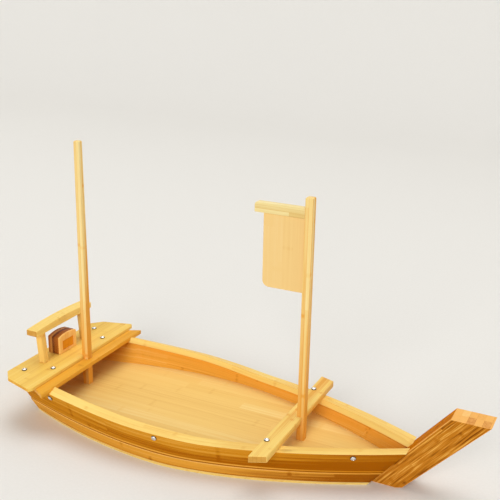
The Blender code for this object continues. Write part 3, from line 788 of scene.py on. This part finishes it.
@dataclass
class FieldedPanel(Board):
    """The panel let into the pocket of the stern box, with a bevelled field."""

    pocketed: str = "stern_box"
    frame_node: str = "stern_box_frame"
    forward: float = 0.9
    rim_mm: float = 1.0
    clear_mm: float = 0.15
    recess_mm: float = 1.2
    bevel_mm: float = 1.6
    rise_mm: float = 0.7

    def skin(self) -> bpy.types.Object:
        """Makes the panel to fit the pocket, from its back to just behind the frame's front.

        Returns:
            The panel as a new object.
        """
        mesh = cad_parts[self.pocketed].data
        stations = [v.co.x for v in mesh.vertices]
        back, front = min(stations) + self.rim_mm * MM, max(stations) - self.rim_mm * MM
        bed = np.array([mesh.vertices[v].co for face in mesh.polygons for v in face.vertices
                        if face.normal.x > self.forward and back < face.center.x < front])
        clear = self.clear_mm * MM
        low, high = bed.min(axis=0) + clear, bed.max(axis=0) - clear
        low[0] += clear
        high[0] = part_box(self.frame_node)[1][0] - self.recess_mm * MM
        form = bmesh.new()
        bmesh.ops.create_cube(form, size=1.0)
        half = Vector((0.5, 0.5, 0.5))
        for vert in form.verts:
            vert.co = Vector(low) + (vert.co + half) * Vector(high - low)
        field_face = max(form.faces, key=lambda face: face.normal.x)
        bmesh.ops.inset_region(form, faces=[field_face], thickness=self.bevel_mm * MM,
                               depth=self.rise_mm * MM)
        return self.smoothed(form)


@dataclass
class PanHeadScrew:
    """A cross-recessed pan-head screw on its construction solid's axis."""

    node: str
    mesh: bpy.types.Mesh
    body: Body = Body.HULL
    slot: Slot = Slot.STEEL

    def build(self) -> bpy.types.Object:
        """Sets the screw on the solid's axis.

        Returns:
            The finished piece.
        """
        piece = bpy.data.objects.new(self.node + "_pan_head", self.mesh)
        bpy.context.scene.collection.objects.link(piece)
        piece.matrix_world = self.seat()
        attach(piece, self.body.value)
        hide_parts(self.node)
        LOG.info("%s: %s, %d faces", piece.name, self.mesh.materials[0].name, len(self.mesh.polygons))
        return piece

    def seat(self) -> Matrix:
        """Finds the head's crown and axis from the turned solid.

        Returns:
            Place of the crown, with Z out of the board.
        """
        points = np.array([v.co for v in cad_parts[self.node].data.vertices])
        centre = points.mean(axis=0)
        axis = self.axis(points - centre)
        heights = (points - centre) @ axis
        turn = Vector(axis).to_track_quat("Z", "Y").to_matrix().to_4x4()
        return Matrix.Translation(Vector(centre + axis * heights.max())) @ turn

    @staticmethod
    def axis(points: np.ndarray) -> np.ndarray:
        """Axis of a turned solid, pointing to its wider end.

        Args:
            points: Places about the solid's centre.

        Returns:
            Unit vector out of the head.
        """
        # A turned solid spreads alike in two directions, and its axis is the third.
        spread, ways = np.linalg.eigh(points.T @ points)
        odd = 2 if spread[2] - spread[1] > spread[1] - spread[0] else 0
        axis = ways[:, odd]
        heights = points @ axis
        radii = np.linalg.norm(points - np.outer(heights, axis), axis=1)
        return axis if heights[np.argmax(radii)] > 0 else -axis


@dataclass
class ScrewSet:
    """The boat's screws, all of one kind."""

    places: tuple[str, ...] = ("beam_screw", "platform_screw_aft", "platform_screw_fore",
                               "side_screw_stern", "side_screw_mid", "side_screw_bow")
    head_radius_mm: float = 3.7
    head_height_mm: float = 2.4
    head_side_mm: float = 0.7
    under_round_mm: float = 0.35
    shank_radius_mm: float = 1.45
    shank_mm: float = 9.0
    recess_length_mm: float = 4.3
    recess_width_mm: float = 0.95
    recess_depth_mm: float = 1.25
    recess_foot: tuple[float, float] = (0.45, 0.7)
    proud_mm: float = 0.5
    turns: int = 32
    crown_steps: int = 7
    sharp_deg: float = 32.0
    finish: PlatedSteel = PlatedSteel()

    def build(self) -> list[bpy.types.Object]:
        """Makes one screw and sets it in every place.

        Returns:
            The finished pieces.
        """
        mesh = self.screw_mesh()
        mesh.materials.append(self.finish.material())
        return [PanHeadScrew(f"{place}_{side.value}", mesh).build()
                for place in self.places for side in Side]

    def profile(self) -> list[tuple[float, float]]:
        """Draws the turned outline, from the crown down.

        Returns:
            Radius and height of each corner, with the crown at height 0.
        """
        crown = self.head_height_mm - self.head_side_mm
        points = []
        for i in range(self.crown_steps + 1):
            angle = math.pi / 2 * (1 - i / self.crown_steps)
            points.append((self.head_radius_mm * math.cos(angle), crown * (math.sin(angle) - 1)))
        foot = -self.head_height_mm
        return points + [
            (self.head_radius_mm, foot + self.under_round_mm),
            (self.head_radius_mm - self.under_round_mm, foot),
            (self.shank_radius_mm, foot),
            (self.shank_radius_mm, foot - self.shank_mm + self.shank_radius_mm),
            (0.0, foot - self.shank_mm)]

    def screw_mesh(self) -> bpy.types.Mesh:
        """Turns the outline and cuts the cross recess.

        Returns:
            The screw's mesh, with its crown at the origin.
        """
        body = self.turned()
        for quarter in (0.0, math.pi / 2):
            blade = self.blade(quarter)
            cut = body.modifiers.new("recess", "BOOLEAN")
            cut.operation = "DIFFERENCE"
            cut.object = blade
            bpy.context.view_layer.update()
            graph = bpy.context.evaluated_depsgraph_get()
            mesh = bpy.data.meshes.new_from_object(body.evaluated_get(graph))
            body.modifiers.clear()
            body.data = mesh
            bpy.data.objects.remove(blade)
        bpy.data.objects.remove(body)
        mesh.name = "pan_head_screw"
        mesh.shade_smooth()
        mesh.set_sharp_from_angle(angle=math.radians(self.sharp_deg))
        return mesh

    def turned(self) -> bpy.types.Object:
        """Spins the outline about its axis.

        Returns:
            The closed solid.
        """
        form = bmesh.new()
        points = [form.verts.new((r * MM, 0.0, z * MM)) for r, z in self.profile()]
        edges = [form.edges.new(pair) for pair in zip(points, points[1:])]
        bmesh.ops.spin(form, geom=points + edges, axis=(0.0, 0.0, 1.0), cent=(0.0, 0.0, 0.0),
                       angle=2 * math.pi, steps=self.turns, use_merge=True)
        bmesh.ops.remove_doubles(form, verts=form.verts, dist=WELD)
        bmesh.ops.recalc_face_normals(form, faces=form.faces)
        return put_in_scene("screw_blank", form)

    def blade(self, angle: float) -> bpy.types.Object:
        """Makes one tapered arm of the cross recess.

        Args:
            angle: Turn of the arm about the screw's axis.

        Returns:
            The cutter.
        """
        form = bmesh.new()
        bmesh.ops.create_cube(form, size=1.0)
        for vert in form.verts:
            low = vert.co.z < 0
            vert.co.x *= self.recess_length_mm * MM * (self.recess_foot[0] if low else 1.0)
            vert.co.y *= self.recess_width_mm * MM * (self.recess_foot[1] if low else 1.0)
            vert.co.z = (-self.recess_depth_mm if low else self.proud_mm) * MM
        bmesh.ops.rotate(form, verts=form.verts, matrix=Matrix.Rotation(angle, 3, "Z"))
        return put_in_scene("recess_blade", form)


@dataclass
class Hull:
    """Planks, bottom, floor, transom and stem."""

    plank_mm: float = 8.0

    def build(self) -> list[bpy.types.Object]:
        """Dresses the hull.

        Returns:
            The finished pieces.
        """
        boards = [
            Board("bottom_board", GUNWALE_STOCK, Slot.PALE, 1),
            Board("floor_board", FLOOR_STOCK, Slot.CREAM, 2),
            Board("transom", LOWER_PLANK_STOCK, Slot.GOLD, 3, Run.ATHWART),
            RakedTimber("stem", STEM_STOCK, Slot.GOLD, 4, accents=(STEM_END_STOCK, STEM_BACK_STOCK)),
        ]
        for i, side in enumerate(Side):
            boards += [
                Plank(f"lower_strake_{side.value}", LOWER_PLANK_STOCK, Slot.GOLD, 5 + i,
                      thickness_mm=self.plank_mm),
                Plank(f"upper_strake_{side.value}", UPPER_PLANK_STOCK, Slot.GOLD, 7 + i,
                      accents=(GUNWALE_STOCK, INNER_PLANK_STOCK), thickness_mm=self.plank_mm),
                Plank(f"inwale_{side.value}", GUNWALE_STOCK, Slot.PALE, 9 + i,
                      thickness_mm=self.plank_mm),
            ]
        return [board.build() for board in boards]


@dataclass
class BowRig:
    """Bow beam, and the mast with its yard and flag."""

    def build(self) -> list[bpy.types.Object]:
        """Dresses the bow rig.

        Returns:
            The finished pieces.
        """
        rig = Body.FLAG_MAST
        boards = [
            Board("bow_beam", BOW_BEAM_STOCK, Slot.CREAM, 11, Run.ATHWART_FROM_PORT,
                  accents=(BAR_END_STOCK,)),
            Board("bow_mast", MAST_STOCK, Slot.CREAM, 12, Run.UPRIGHT, rig),
            Board("yard", YARD_STOCK, Slot.CREAM, 13, Run.LENGTHWISE, rig),
            Board("flag_board", FLAG_STOCK, Slot.CREAM, 14, Run.UPRIGHT, rig),
        ]
        return [board.build() for board in boards]


@dataclass
class SternDeck:
    """Stern beam, platform and mast."""

    def build(self) -> list[bpy.types.Object]:
        """Dresses the stern deck.

        Returns:
            The finished pieces.
        """
        boards = [
            Board("stern_beam", BEAM_STOCK, Slot.PALE, 15, Run.ATHWART),
            Board("stern_platform", DECK_STOCK, Slot.PALE, 16, Run.ATHWART, accents=(BEAM_STOCK,)),
            Board("stern_mast", MAST_STOCK, Slot.CREAM, 17, Run.UPRIGHT, Body.STERN_POLE),
        ]
        return [board.build() for board in boards]


@dataclass
class SternGate:
    """Posts, lintel and the framed and panelled box between them."""

    panel_recess_mm: float = 1.2

    def build(self) -> list[bpy.types.Object]:
        """Dresses the gate.

        Returns:
            The finished pieces.
        """
        boards = [
            Board("gate_post_stbd", GATE_STOCK, Slot.PALE, 18, Run.UPRIGHT),
            Board("gate_post_port", GATE_STOCK, Slot.PALE, 19, Run.UPRIGHT),
            Board("gate_lintel", CROSS_STOCK, Slot.PALE, 20, Run.ATHWART, accents=(BAR_END_STOCK,)),
            Board("stern_box", BOX_STOCK, Slot.BROWN, 21, Run.UPRIGHT),
            Board("stern_box_frame", FRAME_STOCK, Slot.PALE, 22, Run.UPRIGHT_ATHWART),
            FieldedPanel("stern_box_panel", PANEL_STOCK, Slot.BROWN, 23, Run.UPRIGHT_ATHWART,
                         recess_mm=self.panel_recess_mm),
        ]
        return [board.build() for board in boards]


@dataclass(frozen=True)
class SoftLamp:
    """A broad lamp so far away that it lights the boat and the floor evenly.

    Its level is the light on a face that looks straight at it. A level of 1 would show a colour there as
    it is written.
    """

    name: str
    stands: tuple[float, float, float]
    spread_deg: float
    level: float

    def build(self) -> None:
        """Hangs the lamp."""
        data = bpy.data.lights.new(self.name, "SUN")
        data.angle = math.radians(self.spread_deg)
        data.energy = self.level * math.pi
        lamp = bpy.data.objects.new(self.name, data)
        lamp.location = self.stands
        lamp.rotation_euler = Vector(self.stands).to_track_quat("Z", "Y").to_euler()
        bpy.context.scene.collection.objects.link(lamp)


@dataclass
class Studio:
    """Pale sweep, soft lamps and the camera at the photograph's angle."""

    camera_place_m: tuple[float, float, float] = (0.469496, -0.971690, 0.636234)
    camera_azimuth_deg: float = 26.394
    camera_pitch_deg: float = 18.317
    camera_roll_deg: float = 0.8425
    sensor_mm: float = 36.0
    lens_mm: float = 62.654
    shift: tuple[float, float] = (0.0216, 0.002)
    sweep_half_m: float = 30.0
    sweep_back_m: float = 2.2
    sweep_front_m: float = 30.0
    sweep_round_m: float = 1.2
    sweep_height_m: float = 5.0
    sweep_steps: int = 16
    room_light: float = 0.27
    room_seen: float = 0.83
    room_colour: str = "#FFFDF8"
    lamps: list[SoftLamp] = field(default_factory=lambda: [
        SoftLamp("key", (0.3, -2.1, 1.05), 33.0, 0.52),
        SoftLamp("fill", (2.2, 0.3, 0.7), 33.0, 0.12),
        SoftLamp("top", (0.1, 0.6, 2.9), 47.0, 0.43),
    ])

    def build(self) -> None:
        """Sets up the stage, the light and the camera."""
        self.sweep()
        for lamp in self.lamps:
            lamp.build()
        self.room()
        self.camera()
        bpy.context.scene.view_settings.view_transform = "Standard"

    def sweep(self) -> None:
        """Lays a paper sweep that runs from the floor up into the background."""
        form = bmesh.new()
        line = [(-self.sweep_front_m, 0.0)]
        for i in range(self.sweep_steps + 1):
            angle = math.pi / 2 * i / self.sweep_steps
            line.append((self.sweep_back_m + self.sweep_round_m * math.sin(angle),
                         self.sweep_round_m * (1 - math.cos(angle))))
        line.append((self.sweep_back_m + self.sweep_round_m, self.sweep_height_m))
        rows = [[form.verts.new((x, y, z)) for x in (-self.sweep_half_m, self.sweep_half_m)]
                for y, z in line]
        for near, far in zip(rows, rows[1:]):
            form.faces.new((near[0], near[1], far[1], far[0]))
        paper = put_in_scene("paper_sweep", form)
        paper.data.shade_smooth()
        paper.data.materials.append(StudioPaper().material())

    def room(self) -> None:
        """Fills the room with even light, and shows it as pale as the paper where it is seen."""
        world = bpy.data.worlds.new("room")
        world.use_nodes = True
        tree = world.node_tree
        seen = 0.0
        for ray in ("Is Camera Ray", "Is Glossy Ray", "Is Transmission Ray"):
            path = add_node(tree, "ShaderNodeLightPath", output=ray)
            seen = add_node(tree, "ShaderNodeMath", {
                0: seen, 1: path}, operation="ADD", use_clamp=True)
        strength = add_node(tree, "ShaderNodeMapRange", {
            "Value": seen, "To Min": self.room_light, "To Max": self.room_seen})
        background = tree.nodes["Background"]
        background.inputs["Color"].default_value = linear(self.room_colour)
        tree.links.new(strength, background.inputs["Strength"])
        bpy.context.scene.world = world

    def camera(self) -> None:
        """Sets the camera where the photograph was taken."""
        data = bpy.data.cameras.new("camera")
        data.sensor_width = self.sensor_mm
        data.lens = self.lens_mm
        data.shift_x, data.shift_y = self.shift
        camera = bpy.data.objects.new("camera", data)
        turn = (Matrix.Rotation(math.radians(self.camera_azimuth_deg), 4, "Z")
                @ Matrix.Rotation(math.radians(90.0 - self.camera_pitch_deg), 4, "X")
                @ Matrix.Rotation(math.radians(self.camera_roll_deg), 4, "Z"))
        camera.matrix_world = Matrix.Translation(Vector(self.camera_place_m)) @ turn
        bpy.context.scene.collection.objects.link(camera)
        bpy.context.scene.camera = camera


def main() -> None:
    """Dresses every sub-assembly and sets the stage."""
    logging.basicConfig(level=logging.INFO, format="%(name)s: %(message)s")
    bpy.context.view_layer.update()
    pieces = []
    for assembly in (Hull(), BowRig(), SternDeck(), SternGate(), ScrewSet()):
        pieces += assembly.build()
    Studio().build()
    LOG.info("%d pieces dressed", len(pieces))


if __name__ == "__main__":
    main()
